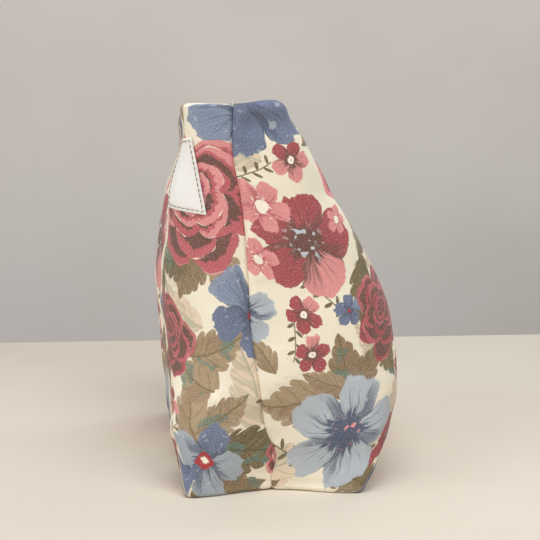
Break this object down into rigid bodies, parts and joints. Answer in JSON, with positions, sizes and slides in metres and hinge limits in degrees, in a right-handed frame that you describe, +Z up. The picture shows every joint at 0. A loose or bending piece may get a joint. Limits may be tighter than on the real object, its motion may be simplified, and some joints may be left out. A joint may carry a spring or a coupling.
{
  "type": "cosmetic bag",
  "caption": "Soft zipped cosmetic bag in flowered cotton, with boxed corners, a flat roof with a zip along it, a lining and a small blank label sewn near one side seam.",
  "frame": {"origin": "on the table, under the middle of the bag's overall box", "axes": "+Z up, X along the zip with the label near the +X end, front with the label towards -Y"},
  "size_m": [0.2256, 0.131, 0.2004],
  "materials": {
    "flowered_cotton": "printed furnishing cotton, matt, fine weave",
    "lining_cotton": "plain cotton, matt",
    "zip_tape": "woven polyester tape, matt",
    "zip_teeth": "nylon, satin",
    "zip_metal": "plated die-cast metal, satin",
    "label_cotton": "white cotton, matt, with a coloured stitched border"
  },
  "bodies": {
    "bag": {"front_panel": "flowered_cotton", "back_panel": "flowered_cotton", "lining": "lining_cotton", "front_zip_tape": "zip_tape", "back_zip_tape": "zip_tape", "front_zip_teeth": "zip_teeth", "back_zip_teeth": "zip_teeth", "zip_top_stops": "zip_metal", "zip_bottom_stop": "zip_metal", "label": "label_cotton"},
    "slider": {"zip_slider": "zip_metal"},
    "pull": {"zip_pull": "zip_metal"}
  },
  "joints": [
    {"name": "zip_slide", "type": "slide", "parent": "bag", "child": "slider", "axis": [1, 0, 0], "range_m": [0, 0.188]},
    {"name": "pull_hinge", "type": "hinge", "parent": "slider", "child": "pull", "pos_m": [-0.094, -0.027, 0.1987], "axis": [0, -1, 0], "range_deg": [0, 180]}
  ]
}
